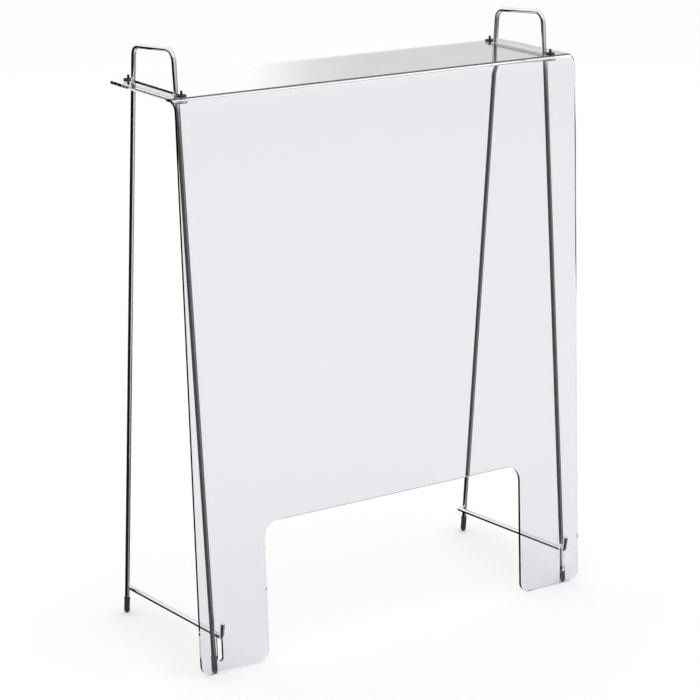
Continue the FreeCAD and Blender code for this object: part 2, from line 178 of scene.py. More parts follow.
class StageSettings(bpy.types.PropertyGroup):
    """The floor, the studio light and the camera."""
    floor_radius: length_setting("Floor Radius", "Radius of the floor", 30.0)
    floor_colour: colour_setting("Floor Colour", "Colour of the floor", (0.93, 0.93, 0.93))
    light: bpy.props.FloatProperty(
        name="Light", description="Strength of the studio light", default=1.19, min=0)
    low_ring: bpy.props.FloatVectorProperty(
        name="Low Ring", description="Pairs of turn and brightness, below the horizon",
        default=(0.0, 0.12, 0.02, 0.03, 0.12, 0.01, 0.50, 0.01, 0.70, 0.02, 0.77, 0.03, 0.82, 0.20,
                 0.90, 0.32, 0.95, 0.30, 1.0, 0.12), size=20)
    high_ring: bpy.props.FloatVectorProperty(
        name="High Ring", description="Pairs of turn and brightness, above the horizon",
        default=(0.0, 0.7, 0.08, 0.5, 0.16, 0.06, 0.34, 0.05, 0.40, 1.0, 0.585, 1.0, 0.592, 0.50,
                 0.72, 0.45, 0.80, 0.7, 1.0, 0.7), size=20)
    key_light: bpy.props.FloatProperty(
        name="Key Light", description="Power of the front left lamp, in watts", default=9)
    fill_light: bpy.props.FloatProperty(
        name="Fill Light", description="Power of the rear right lamp, in watts", default=9)
    camera_place: bpy.props.FloatVectorProperty(
        name="Camera Place", description="Where the camera stands",
        default=(-1.6372, -2.4900, 1.2369), size=3, subtype="TRANSLATION")
    camera_turn: angle_setting("Camera Turn", "How far the camera turns right of straight ahead",
                               0.5816)
    camera_dip: angle_setting("Camera Dip", "How far the camera looks below the horizon", 0.289)
    lens: bpy.props.FloatProperty(
        name="Lens", description="Focal length on a 36 mm sensor, in millimetres", default=121.24)


# Modelling helpers.

def start_piece():
    """Leave edit mode and select nothing, so that the next operator acts only on what it adds."""
    if bpy.context.object and bpy.context.object.mode != "OBJECT":
        bpy.ops.object.mode_set(mode="OBJECT")
    bpy.ops.object.select_all(action="DESELECT")


def select(piece):
    """Leave edit mode and select one piece."""
    start_piece()
    bpy.context.view_layer.objects.active = piece
    piece.select_set(True)


def edit(piece, action="DESELECT"):
    """Enter edit mode on one piece, with nothing or everything in it selected."""
    select(piece)
    bpy.ops.object.mode_set(mode="EDIT")
    bpy.ops.mesh.select_all(action=action)


def pick(piece, kind, test):
    """In edit mode, select the vertices, edges or faces of a piece that pass a test."""
    bpy.ops.mesh.select_mode(type={"vertices": "VERT", "edges": "EDGE", "polygons": "FACE"}[kind])
    bpy.ops.mesh.select_all(action="DESELECT")
    bpy.ops.object.mode_set(mode="OBJECT")
    for item in getattr(piece.data, kind):
        item.select = test(item)
    bpy.ops.object.mode_set(mode="EDIT")


def settle(piece, name):
    """Name a piece and put its place into its mesh."""
    select(piece)
    bpy.ops.object.transform_apply(location=True, rotation=True, scale=True)
    piece.name = name
    piece.data.name = name
    return piece


def apply_modifier(piece, kind, **settings):
    """Add a modifier to a piece, set it up and apply it."""
    select(piece)
    bpy.ops.object.modifier_add(type=kind)
    modifier = piece.modifiers[-1]
    for setting, value in settings.items():
        setattr(modifier, setting, value)
    bpy.ops.object.modifier_apply(modifier=modifier.name)


def faces_out(piece):
    """Join doubled points and turn every face outwards."""
    edit(piece, "SELECT")
    bpy.ops.mesh.remove_doubles(threshold=MERGE_FINISHED)
    bpy.ops.mesh.normals_make_consistent(inside=False)
    bpy.ops.object.mode_set(mode="OBJECT")


def smooth(piece, angle=35):
    """Shade a piece smooth, except across edges sharper than an angle in degrees."""
    select(piece)
    bpy.ops.object.shade_smooth_by_angle(angle=math.radians(angle))


def sweep(piece, moves):
    """Carry the piece's selected outline along straight runs and round turns about X."""
    for move in moves:
        if move[0] == "run":
            bpy.ops.mesh.extrude_region_move(TRANSFORM_OT_translate={"value": move[1]})
        else:
            _, centre, angle, steps = move
            bpy.ops.mesh.spin(steps=steps, angle=angle, center=centre, axis=X_AXIS)
    bpy.ops.mesh.select_all(action="SELECT")
    bpy.ops.mesh.remove_doubles(threshold=MERGE_DRAWN)
    bpy.ops.mesh.fill_holes(sides=0)


def dress(piece, finish, body, nodes):
    """Give a piece its finish, its body and the nodes it stands for."""
    piece.data.materials.clear()
    for material in finish if isinstance(finish, (list, tuple)) else [finish]:
        piece.data.materials.append(material)
    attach(piece, body)
    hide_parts(*nodes)


def dress_pair(pieces, finish, node):
    """Dress the same piece of the left and the right stand."""
    for side, piece in zip(SIDES, pieces):
        dress(piece, finish, f"{side}_stand", (f"{side}_{node}",))


# Finishes.

ACRYLIC_IOR = 1.49
SHEET_ROUGHNESS = (0.004, 0.02)
LAMP_TINT = (0.93, 0.93, 0.94)
EDGE_ROUGHNESS = (0.05, 0.16)
EDGE_CLEARNESS = 0.3
WIRE_ROUGHNESS = 0.05
STRIP_ROUGHNESS, STRIP_RIPPLE = 0.09, 0.00002
WELD_ROUGHNESS, WELD_RIPPLE = 0.2, 0.00008
WELD_SHADE = 0.8
DUST_SHADE = 2.4


class Nodes:
    """Nodes put together in a tree."""

    def __init__(self, tree):
        self.tree = tree
        tree.nodes.clear()

    def fill(self, socket, value):
        """Link a socket to another one, or give it a value."""
        if isinstance(value, bpy.types.NodeSocket):
            self.tree.links.new(value, socket)
        else:
            socket.default_value = value

    def node(self, kind, settings=None, **inputs):
        """Add a node. Inputs are named with underscores and are numbers, colours or sockets."""
        made = self.tree.nodes.new(kind)
        for setting, value in (settings or {}).items():
            setattr(made, setting, value)
        for name, value in inputs.items():
            self.fill(made.inputs[name.replace("_", " ")], value)
        return made

    def numbered(self, kind, settings, places, values):
        """Add a node, fill its inputs by their places, and give its first output."""
        made = self.node(kind, settings)
        for place, value in zip(places, values):
            self.fill(made.inputs[place], value)
        return made.outputs[0]

    def maths(self, operation, first, second, clamp=False):
        """A number worked out from two."""
        return self.numbered("ShaderNodeMath", {"operation": operation, "use_clamp": clamp},
                             (0, 1), (first, second))

    def blend(self, share, low, high):
        """One number turning into another."""
        return self.numbered("ShaderNodeMix", {"data_type": "FLOAT"}, (0, 2, 3),
                             (share, low, high))

    def between(self, value, low, high, start=0.3, end=0.7, kind="LINEAR"):
        """Turn a number from start to end into one from low to high."""
        made = self.node("ShaderNodeMapRange", {"interpolation_type": kind}, Value=value,
                         From_Min=start, From_Max=end, To_Min=low, To_Max=high)
        return made.outputs["Result"]


class Finish(Nodes):
    """A material put together from nodes, laid out in the piece's own coordinates."""

    def __init__(self, name):
        self.material = bpy.data.materials.new(name)
        self.material.use_nodes = True
        super().__init__(self.material.node_tree)
        self.place = self.node("ShaderNodeTexCoord").outputs["Object"]

    def noise(self, scale, detail=2.0, stretch=(1, 1, 1)):
        """Noise over the piece, as a number about a half."""
        where = self.node("ShaderNodeMapping", Vector=self.place, Scale=stretch).outputs["Vector"]
        made = self.node("ShaderNodeTexNoise", Vector=where, Scale=scale, Detail=detail)
        return made.outputs["Fac"]

    def bump(self, height, depth, strength=1.0):
        """A surface normal that follows a height."""
        made = self.node("ShaderNodeBump", Height=height, Distance=depth, Strength=strength)
        return made.outputs["Normal"]

    def mix(self, share, first, second):
        """One shader node turning into another."""
        return self.numbered("ShaderNodeMixShader", {}, (0, 1, 2),
                             (share, first.outputs[0], second.outputs[0]))

    def finish(self, surface):
        """Use a shader's output as the surface."""
        self.node("ShaderNodeOutputMaterial", Surface=surface)
        return self.material


def rgba(colour):
    """A colour with full alpha."""
    return (*colour, 1.0)


def clear_sheet(name, tint):
    """Clear acrylic with faint wiping marks, that light from lamps passes through."""
    made = Finish(name)
    wiping = made.noise(260, 3, (1, 1, 0.05))
    body = made.node("ShaderNodeBsdfPrincipled", Base_Color=rgba(tint), IOR=ACRYLIC_IOR,
                     Roughness=made.between(wiping, *SHEET_ROUGHNESS), Transmission_Weight=1.0)
    lamps = made.node("ShaderNodeBsdfTransparent", Color=rgba(LAMP_TINT))
    path = made.node("ShaderNodeLightPath").outputs
    return made.finish(made.mix(path["Is Shadow Ray"], body, lamps))


def cut_edge(name, tint):
    """A machined edge of the sheet, painted near black: painted shade and painted dark reflection
    where the clear edges look dark.
    """
    made = Finish(name)
    saw = made.noise(900, 3)
    body = made.node("ShaderNodeBsdfPrincipled", Base_Color=rgba(tint), IOR=ACRYLIC_IOR,
                     Roughness=made.between(saw, *EDGE_ROUGHNESS),
                     Normal=made.bump(saw, 0.00003, 0.4), Transmission_Weight=EDGE_CLEARNESS)
    return made.finish(body.outputs[0])


def chrome(name, plating, roughness=WIRE_ROUGHNESS, ripple=0.0):
    """Bright plating with faint draw lines and uneven polish. A ripple is a height."""
    made = Finish(name)
    polish = made.noise(90, 4)
    drawn = made.noise(1500, 2, (1, 1, 0.02))
    relief = made.bump(drawn, 0.00002, 0.25)
    if ripple:
        relief = made.node("ShaderNodeBump", Height=made.noise(700, 3), Distance=ripple,
                           Strength=0.8, Normal=relief).outputs["Normal"]
    metal = made.node("ShaderNodeBsdfPrincipled", Base_Color=rgba(plating), Metallic=1.0,
                      Roughness=made.between(polish, roughness * 0.6, roughness * 1.6),
                      Normal=relief)
    return made.finish(metal.outputs[0])


def rubber(name, colour):
    """Matt moulded rubber with a fine grain and a trace of dust."""
    made = Finish(name)
    dust = made.between(made.noise(220, 4), 0, 1, 0.45, 0.75)
    shade = made.node("ShaderNodeMix", {"data_type": "RGBA"}, Factor=dust)
    clean, dusty = (socket for socket in shade.inputs if socket.type == "RGBA")
    clean.default_value = rgba(colour)
    dusty.default_value = rgba([channel * DUST_SHADE for channel in colour])
    mixed = next(socket for socket in shade.outputs if socket.type == "RGBA")
    grain = made.noise(2600, 3)
    body = made.node("ShaderNodeBsdfPrincipled", Base_Color=mixed,
                     Roughness=made.between(grain, 0.55, 0.8),
                     Normal=made.bump(grain, 0.00006, 0.5))
    return made.finish(body.outputs[0])


def black_metal(name):
    """Blackened steel, a little brighter where it is rubbed."""
    made = Finish(name)
    worn = made.between(made.noise(900, 4), 0.02, 0.07, 0.45, 0.8)
    colour = made.node("ShaderNodeCombineColor", Red=worn, Green=worn, Blue=worn)
    metal = made.node("ShaderNodeBsdfPrincipled", Base_Color=colour.outputs["Color"],
                      Metallic=0.9, Roughness=made.between(made.noise(1500), 0.25, 0.45))
    return made.finish(metal.outputs[0])


# Paths and sections.

def bend_path(corners, radius):
    """Turn corners of (y, z) into straight runs and round turns, as moves for a sweep."""
    places = [Vector((0, y, z)) for y, z in corners]
    moves = []
    at = places[0]
    for i in range(1, len(places) - 1):
        before = (places[i - 1] - places[i]).normalized()
        after = (places[i + 1] - places[i]).normalized()
        half = before.angle(after) / 2
        arrive = places[i] + before * (radius / math.tan(half))
        leave = places[i] + after * (radius / math.tan(half))
        centre = places[i] + (before + after).normalized() * (radius / math.sin(half))
        turn = math.pi - 2 * half
        sign = 1 if before.cross(after).x > 0 else -1
        moves.append(("run", arrive - at))
        steps = max(MIN_BEND_STEPS, round(turn / WIRE_BEND_STEP))
        moves.append(("turn", centre, sign * turn, steps))
        at = leave
    moves.append(("run", places[-1] - at))
    return moves


def facing(direction):
    """The rotation that turns +Z to a direction in the YZ plane."""
    return (math.atan2(-direction[0], direction[1]), 0, 0)


def round_bar(name, x, corners, radius, bend, sides):
    """A round bar bent along corners of (y, z), with its ends closed flat."""
    start_piece()
    direction = (corners[1][0] - corners[0][0], corners[1][1] - corners[0][1])
    bpy.ops.mesh.primitive_circle_add(
        vertices=sides, radius=radius, location=(x, *corners[0]), rotation=facing(direction))
    bar = bpy.context.object
    edit(bar, "SELECT")
    moves = [(move[0], Vector((x, 0, 0)) + move[1], *move[2:]) if move[0] == "turn" else move
             for move in bend_path(corners, bend)]
    sweep(bar, moves)
    settle(bar, name)
    faces_out(bar)
    return bar


def break_ends(piece, width, segments):
    """Round off the flat ends of a bar."""
    apply_modifier(piece, "BEVEL", width=width, segments=segments, limit_method="ANGLE",
                   angle_limit=math.radians(50), use_clamp_overlap=False)


def turned(name, rings, sides, closed=False):
    """A turned piece on the Z axis through rings of (height, radius)."""
    start_piece()
    height, radius = rings[0]
    bpy.ops.mesh.primitive_circle_add(vertices=sides, radius=radius, location=(0, 0, height))
    piece = bpy.context.object
    edit(piece, "SELECT")
    for next_height, next_radius in rings[1:]:
        rise = next_height - height
        bpy.ops.mesh.extrude_region_move(TRANSFORM_OT_translate={"value": (0, 0, rise)})
        grow = next_radius / radius
        bpy.ops.transform.resize(value=(grow, grow, 1), center_override=(0, 0, next_height))
        height, radius = next_height, next_radius
    bpy.ops.mesh.select_all(action="SELECT")
    bpy.ops.mesh.remove_doubles(threshold=MERGE_DRAWN)
    if not closed:
        bpy.ops.mesh.fill_holes(sides=0)
    settle(piece, name)
    faces_out(piece)
    return piece


def another(piece, name, place, tilt=0.0):
    """A copy of a piece with its own mesh, turned about X and moved."""
    select(piece)
    bpy.ops.object.duplicate()
    copy = bpy.context.object
    copy.matrix_world = Matrix.Translation(place) @ Matrix.Rotation(tilt, 4, "X")
    return settle(copy, name)


def discard(piece):
    """Delete a working piece."""
    select(piece)
    bpy.ops.object.delete()


def middle(node):
    """The middle of a CAD node's box."""
    low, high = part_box(node)
    return (low + high) / 2


# The clear sheet.

def slot_cutter(low, high, radius, axis):
    """A round-ended cutter for a slot along Y (cutting along Z) or along Z (cutting along Y)."""
    start_piece()
    turn = (0, 0, 0) if axis == "Z" else (math.radians(90), 0, 0)
    low, high = Vector(low), Vector(high)
    bpy.ops.mesh.primitive_cylinder_add(vertices=CUTTER_SIDES, radius=radius, depth=CUTTER_DEPTH,
                                        location=low, rotation=turn)
    cutter = settle(bpy.context.object, "slot_cutter")
    run = high - low
    if run.length > 0:
        edit(cutter)
        pick(cutter, "vertices", lambda vertex: (vertex.co - low).dot(run) > -SAME_SIDE)
        bpy.ops.transform.translate(value=run)
        bpy.ops.object.mode_set(mode="OBJECT")
    return cutter


def cut(piece, cutter):
    """Cut a piece with a cutter. The walls take the second finish."""
    for _ in range(2 - len(cutter.data.materials)):
        cutter.data.materials.append(None)
    for face in cutter.data.polygons:
        face.material_index = 1
    apply_modifier(piece, "BOOLEAN", operation="DIFFERENCE", solver="EXACT", object=cutter)
    discard(cutter)


class DESKSCREEN_OT_sheet(bpy.types.Operator):
    """Build the bent sheet with its openings"""
    bl_idname = "desk_screen.sheet"
    bl_label = "Clear Sheet"

    def execute(self, context):
        sheet = context.scene.sheet_settings
        wire = context.scene.wire_settings
        piece = self.blank(sheet)
        self.open_pass_through(piece, sheet)
        for side in SIDES:
            self.open_slots(piece, sheet, wire, side)
        apply_modifier(piece, "BEVEL", width=sheet.polish, segments=1, limit_method="ANGLE",
                       angle_limit=SHARP, material=1)
        faces_out(piece)
        smooth(piece, 25)
        apply_modifier(piece, "WEIGHTED_NORMAL", keep_sharp=True)
        # The second finish paints the cut edges near black, as painted shade.
        finishes = (clear_sheet("clear_sheet", sheet.tint), cut_edge("cut_edge", sheet.edge_painted_shade))
        dress(piece, finishes, "screen", ("screen_panel",))
        return {"FINISHED"}

    def blank(self, sheet):
        """The sheet before its openings: a flat strip carried up, round the bend and back."""
        low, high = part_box("screen_panel")
        foot_y = low.y + sheet.thickness / 2 / math.cos(sheet.lean)
        top = high.z - sheet.thickness / 2
        corner_y = foot_y + (top - low.z) * math.tan(sheet.lean)
        start_piece()
        bpy.ops.mesh.primitive_plane_add(size=1, location=(0, foot_y, low.z))
        piece = bpy.context.object
        piece.scale = (high.x - low.x, sheet.thickness / math.cos(sheet.lean), 1)
        settle(piece, "screen_panel_sheet")
        edit(piece, "SELECT")
        moves = bend_path([(foot_y, low.z), (corner_y, top), (high.y, top)],
                          sheet.bend_radius + sheet.thickness / 2)
        straight, turn, back = moves[0][1], moves[1], moves[2][1]
        bend_start = Vector((0, foot_y, low.z)) + straight
        bpy.ops.mesh.extrude_region_move(TRANSFORM_OT_translate={"value": straight})
        # The bottom edge is level. Above it the section is square to the upright.
        bpy.ops.transform.resize(value=(1, math.cos(sheet.lean), 1), center_override=bend_start)
        bpy.ops.transform.rotate(value=sheet.lean, orient_axis="X", center_override=bend_start)
        bpy.ops.mesh.spin(steps=SHEET_BEND_STEPS, angle=turn[2], center=turn[1], axis=X_AXIS)
        bpy.ops.mesh.extrude_region_move(TRANSFORM_OT_translate={"value": back})
        bpy.ops.object.mode_set(mode="OBJECT")
        faces_out(piece)
        for face in piece.data.polygons:
            at_foot = face.center.z < low.z + SAME
            at_rear = face.center.y > high.y - SAME
            face.material_index = int(abs(face.normal.x) > FACING or at_foot or at_rear)
        return piece

    def open_pass_through(self, piece, sheet):
        """Cut the opening between the legs, and round the corners of the legs and the flange."""
        low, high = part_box("screen_panel")
        half = high.x - sheet.leg_width
        start_piece()
        bpy.ops.mesh.primitive_cube_add(size=1, location=(0, low.y, 0))
        cutter = bpy.context.object
        cutter.scale = (2 * half, OPENING_DEPTH, 2 * sheet.opening_top)
        settle(cutter, "opening_cutter")
        edit(cutter)
        pick(cutter, "edges", lambda edge: self.crosses_at(cutter, edge, sheet.opening_top))
        bpy.ops.mesh.bevel(offset=sheet.opening_corner, segments=OPENING_STEPS, affect="EDGES")
        bpy.ops.object.mode_set(mode="OBJECT")
        cut(piece, cutter)
        edit(piece)
        pick(piece, "edges", lambda edge: self.crosses_at(piece, edge, low.z)
             and min(abs(abs(piece.data.vertices[edge.vertices[0]].co.x) - side)
                     for side in (half, high.x)) < SAME)
        bpy.ops.mesh.bevel(offset=sheet.leg_corner, segments=LEG_STEPS, affect="EDGES")
        pick(piece, "edges", lambda edge: self.rises_at(piece, edge, high))
        bpy.ops.mesh.bevel(offset=sheet.flange_corner, segments=FLANGE_STEPS, affect="EDGES")
        bpy.ops.object.mode_set(mode="OBJECT")

    def crosses_at(self, piece, edge, height):
        """Whether an edge runs level through the thickness at a height."""
        start, end = (piece.data.vertices[index].co for index in edge.vertices)
        level = abs(start.z - height) < SAME and abs(end.z - height) < SAME
        return level and abs((end - start).normalized().y) > ALONG

    def rises_at(self, piece, edge, high):
        """Whether an edge runs up the thickness at a rear corner of the flange."""
        start, end = (piece.data.vertices[index].co for index in edge.vertices)
        rear = min(start.y, end.y) > high.y - SAME
        return rear and min(abs(start.x), abs(end.x)) > high.x - SAME

    def open_slots(self, piece, sheet, wire, side):
        """Cut one side's hook slot, leg slot and grommet holes."""
        bar_x = middle(f"{side}_hook_bar").x
        frame_x = middle(f"{side}_wire_frame").x
        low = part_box("screen_panel")[0]
        half = sheet.hook_slot_width / 2
        bottom = sheet.hook_slot_bottom
        cut(piece, slot_cutter((bar_x, low.y, bottom + half),
                               (bar_x, low.y, bottom + sheet.hook_slot_length - half), half, "Y"))
        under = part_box("screen_panel")[1].z - sheet.thickness
        ends = wire.slot_end_gap - wire.slot_side_gap
        cut(piece, slot_cutter((frame_x, leg_y(wire, "front", under) - ends, under),
                               (frame_x, leg_y(wire, "rear", under) + ends, under),
                               wire.radius + wire.slot_side_gap, "Z"))
        for end in ENDS:
            hole = middle(f"{side}_{end}_pin")
            hole.z = under
            cut(piece, slot_cutter(hole, hole, sheet.grommet_hole / 2, "Z"))


# The wire stands.

EDGE_BREAK = 0.0004
BAR_END_ROUNDING = 0.0007
BEAD_RADII = (0.0011, 0.0021, 0.0025)
BEAD_UNEVENNESS, BEAD_SEEDS = 0.00012, (6, 7)
FILLET_UNEVENNESS, FILLET_SEED = 0.00005, 7
WELD_SINK = 0.00005
# A weld under a plate, as (height from the plate, reach from the wire), round once.
FILLET_SECTION = ((0.0001, 0.0), (0.0001, 0.0013), (-0.0001, 0.0012), (-0.0004, 0.0006),
                  (-0.0008, 0.0003), (-0.0013, 0.0), (0.0001, 0.0))


def leg_lean(wire, end):
    """How far a leg's top leans towards the front, from vertical."""
    return wire.rear_lean if end == "rear" else -wire.front_lean


def leg_y(wire, end, height):
    """Where a leg's middle line is at a height above the desk."""
    foot = wire.rear_foot if end == "rear" else wire.front_foot
    return foot - height * math.tan(leg_lean(wire, end))


def copy_to_right(left, name):
    """The same piece on the right-hand stand."""
    shift = middle("right_wire_frame").x - middle("left_wire_frame").x
    return another(left, name, place=(shift, 0, 0))


def plated_wire(wire):
    """The plating that the frames and the bars share."""
    return bpy.data.materials.get("plated_wire") or chrome("plated_wire", wire.plating)


class DESKSCREEN_OT_wire_frames(bpy.types.Operator):
    """Bend the two wire frames with their handles"""
    bl_idname = "desk_screen.wire_frames"
    bl_label = "Wire Frames"

    def execute(self, context):
        wire = context.scene.wire_settings
        x = middle("left_wire_frame").x
        foot = wire.foot_end
        handle = wire.handle_height
        slope = math.tan(wire.handle_tilt)
        run = ((leg_y(wire, "rear", handle) - leg_y(wire, "front", handle))
               / (1 + slope * math.tan(wire.front_lean)))
        front = handle + run * slope
        corners = [(leg_y(wire, "rear", foot), foot), (leg_y(wire, "rear", handle), handle),
                   (leg_y(wire, "front", front), front), (leg_y(wire, "front", foot), foot)]
        left = round_bar("left_frame_wire", x, corners, wire.radius, wire.handle_corner,
                         wire.round_sides)
        break_ends(left, EDGE_BREAK, 2)
        smooth(left)
        right = copy_to_right(left, "right_frame_wire")
        dress_pair((left, right), plated_wire(wire), "wire_frame")
        return {"FINISHED"}


class DESKSCREEN_OT_hook_bars(bpy.types.Operator):
    """Bend the two cross bars with the hooks at their front ends"""
    bl_idname = "desk_screen.hook_bars"
    bl_label = "Hook Bars"

    def execute(self, context):
        wire = context.scene.wire_settings
        low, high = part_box("left_hook_bar")
        radius = (high.x - low.x) / 2
        slope = math.tan(wire.bar_rise)
        rear_y = high.y - radius * math.sin(wire.bar_rise)
        rear_z = low.z + radius * math.cos(wire.bar_rise)
        flare = math.tan(wire.hook_flare)
        tip_y = low.y + radius * math.cos(wire.hook_flare)
        tip_z = high.z - radius * math.sin(wire.hook_flare)
        # The corner is where the bar's line meets the hook's line.
        corner_y = (tip_y + flare * (tip_z - rear_z - rear_y * slope)) / (1 - flare * slope)
        corner_z = rear_z + (rear_y - corner_y) * slope
        corners = [(rear_y, rear_z), (corner_y, corner_z), (tip_y, tip_z)]
        left = round_bar("left_hook_wire", (low.x + high.x) / 2, corners, radius,
                         wire.hook_corner, wire.round_sides)
        break_ends(left, BAR_END_ROUNDING, 4)
        smooth(left)
        right = another(left, "right_hook_wire",
                        place=(middle("right_hook_bar").x - middle("left_hook_bar").x, 0, 0))
        dress_pair((left, right), plated_wire(wire), "hook_bar")
        return {"FINISHED"}


class DESKSCREEN_OT_saddle_plates(bpy.types.Operator):
    """Finish the two flat plates that carry the flange"""
    bl_idname = "desk_screen.saddle_plates"
    bl_label = "Saddle Plates"

    def execute(self, context):
        wire = context.scene.wire_settings
        low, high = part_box("left_saddle_plate")
        width = high.x - low.x
        x = (low.x + high.x) / 2
        start_piece()
        bpy.ops.mesh.primitive_cylinder_add(
            vertices=PLATE_SIDES, radius=width / 2, depth=high.z - low.z,
            location=(x, low.y + width / 2, (low.z + high.z) / 2))
        left = bpy.context.object
        settle(left, "left_saddle_strip")
        edit(left)
        pick(left, "vertices", lambda vertex: vertex.co.y > low.y + width / 2 - SAME_SIDE)
        bpy.ops.transform.translate(value=(0, high.y - low.y - width, 0))
        bpy.ops.object.mode_set(mode="OBJECT")
        for end in ENDS:
            pin = middle(f"left_{end}_pin")
            self.drill(left, (x, pin.y, (low.z + high.z) / 2), wire.pin_radius)
            leg = leg_y(wire, end, (low.z + high.z) / 2)
            self.drill(left, (x, leg, (low.z + high.z) / 2), wire.radius)
        apply_modifier(left, "BEVEL", width=EDGE_BREAK, segments=3, limit_method="ANGLE",
                       angle_limit=SHARP)
        faces_out(left)
        smooth(left, 30)
        right = copy_to_right(left, "right_saddle_strip")
        plated = chrome("plated_strip", wire.plating, STRIP_ROUGHNESS, STRIP_RIPPLE)
        dress_pair((left, right), plated, "saddle_plate")
        return {"FINISHED"}

    def drill(self, plate, place, radius):
        """Drill a hole down through the plate."""
        cut(plate, slot_cutter(place, place, radius, "Z"))


class DESKSCREEN_OT_welds(bpy.types.Operator):
    """Add the weld beads where the bars and the plates meet the legs"""
    bl_idname = "desk_screen.welds"
    bl_label = "Welds"

    def execute(self, context):
        wire = context.scene.wire_settings
        seam_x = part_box("left_hook_bar")[0].x + wire.weld_depth / 2
        metal = chrome("weld_metal", [shade * WELD_SHADE for shade in wire.plating],
                       WELD_ROUGHNESS, WELD_RIPPLE)
        for end, height, seed in zip(ENDS, wire.bar_heights, BEAD_SEEDS):
            place = (seam_x, leg_y(wire, end, height), height)
            bead = self.bead(f"left_{end}_bar_weld", place, seed)
            twin = another(bead, f"right_{end}_bar_weld", place=(-2 * seam_x, 0, 0))
            fillet = self.fillet(f"left_{end}_plate_weld", wire, end)
            other = copy_to_right(fillet, f"right_{end}_plate_weld")
            for side, pieces in zip(SIDES, ((bead, fillet), (twin, other))):
                for piece in pieces:
                    dress(piece, metal, f"{side}_stand", ())
        return {"FINISHED"}

    def fillet(self, name, wire, end):
        """A hollow fillet of weld round a leg, under the plate."""
        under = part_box("left_saddle_plate")[0].z
        inner = wire.radius - WELD_SINK
        rings = [(height, inner + reach) for height, reach in FILLET_SECTION]
        ring = turned("fillet", rings, FILLET_SIDES, closed=True)
        self.roughen(ring, FILLET_UNEVENNESS, FILLET_SEED)
        x = middle("left_wire_frame").x
        piece = another(ring, name, place=(x, leg_y(wire, end, under), under),
                        tilt=leg_lean(wire, end))
        discard(ring)
        faces_out(piece)
        smooth(piece, 60)
        return piece

    def bead(self, name, place, seed):
        """A small uneven blob in the groove between two round bars."""
        start_piece()
        bpy.ops.mesh.primitive_uv_sphere_add(segments=BEAD_SIDES, ring_count=BEAD_RINGS,
                                             radius=1)
        piece = bpy.context.object
        piece.scale = BEAD_RADII
        piece.location = place
        settle(piece, name)
        self.roughen(piece, BEAD_UNEVENNESS, seed)
        faces_out(piece)
        smooth(piece, 80)
        return piece

    def roughen(self, piece, height, seed):
        """Move the piece's points about by up to a height, and round it off."""
        edit(piece, "SELECT")
        bpy.ops.transform.vertex_random(offset=height, seed=seed)
        bpy.ops.object.mode_set(mode="OBJECT")
        apply_modifier(piece, "SUBSURF", levels=1, render_levels=1)


# The pins, the grommets and the foot caps.

PIN_TIP_RADIUS = 0.001
PIN_TIP_STEPS = 6
PIN_CHAMFER = 0.0003
GROMMET_EASE = 0.00045
DOME_STEPS = 12
RIM_LENGTH = 0.0022
# The cap's swell into its rim, as (below the rim, share of the bead within its radius).
CAP_SWELL = ((0.0012, 1.0), (0.0006, 0.3), (0.0, 0.0))
# The cap's mouth, as (below the top, within the cap's radius).
CAP_MOUTH = ((0.0004, 0.0), (0.0001, 0.0002), (0.0, 0.0005))
CAP_MOUTH_DEPTH = 0.0002


def put_on_node(piece, side, end, kind, name):
    """A copy of a turned piece where a CAD node of a kind stands."""
    node = f"{side}_{end}_{kind}"
    place = middle(node)
    place.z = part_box(node)[0].z
    return another(piece, name, place=place)


def dress_ends(piece, kind, suffix, finish, body=None, put=put_on_node):
    """Replace a piece with dressed copies at both ends of both stands."""
    for side in SIDES:
        for end in ENDS:
            copy = put(piece, side, end, kind, f"{side}_{end}_{suffix}")
            dress(copy, finish, body or f"{side}_stand", (f"{side}_{end}_{kind}",))
    discard(piece)


class DESKSCREEN_OT_pins(bpy.types.Operator):
    """Turn the four locating pins"""
    bl_idname = "desk_screen.pins"
    bl_label = "Pins"

    def execute(self, context):
        wire = context.scene.wire_settings
        low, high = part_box("left_rear_pin")
        radius, tip = wire.pin_radius, PIN_TIP_RADIUS
        straight = high.z - low.z - tip
        rings = [(0, radius - PIN_CHAMFER), (PIN_CHAMFER, radius), (straight, radius)]
        for step in range(1, PIN_TIP_STEPS + 1):
            angle = math.pi / 2 * step / PIN_TIP_STEPS
            rings.append((straight + tip * math.sin(angle),
                          radius - tip + tip * math.cos(angle)))
        pin = turned("pin", rings, PIN_SIDES)
        smooth(pin, 40)
        dress_ends(pin, "pin", "pin_body", black_metal("black_pin_steel"))
        return {"FINISHED"}


class DESKSCREEN_OT_grommets(bpy.types.Operator):
    """Turn the four grommets"""
    bl_idname = "desk_screen.grommets"
    bl_label = "Grommets"

    def execute(self, context):
        sheet = context.scene.sheet_settings
        wire = context.scene.wire_settings
        soft = context.scene.rubber_settings
        low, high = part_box("left_rear_grommet")
        bore = wire.pin_radius + soft.pin_clearance
        neck, rim = sheet.grommet_hole / 2, soft.grommet_rim
        groove, top = soft.grommet_bottom_lip, high.z - low.z
        groove_top = groove + sheet.thickness
        ease = GROMMET_EASE
        rings = [(0.0, bore), (0.0, rim - ease), (ease * 0.3, rim - ease * 0.3),
                 (ease, rim), (groove, rim), (groove, neck), (groove_top, neck),
                 (groove_top, rim), (top - ease, rim), (top - ease * 0.3, rim - ease * 0.3),
                 (top, rim - ease), (top, bore + ease), (top - ease * 0.6, bore + ease * 0.3),
                 (top - ease * 1.4, bore), (0.0, bore)]
        ring = turned("grommet", rings, SOFT_SIDES, closed=True)
        smooth(ring, 50)
        dress_ends(ring, "grommet", "grommet_ring", rubber("grommet_rubber", soft.colour),
                   body="screen")
        return {"FINISHED"}


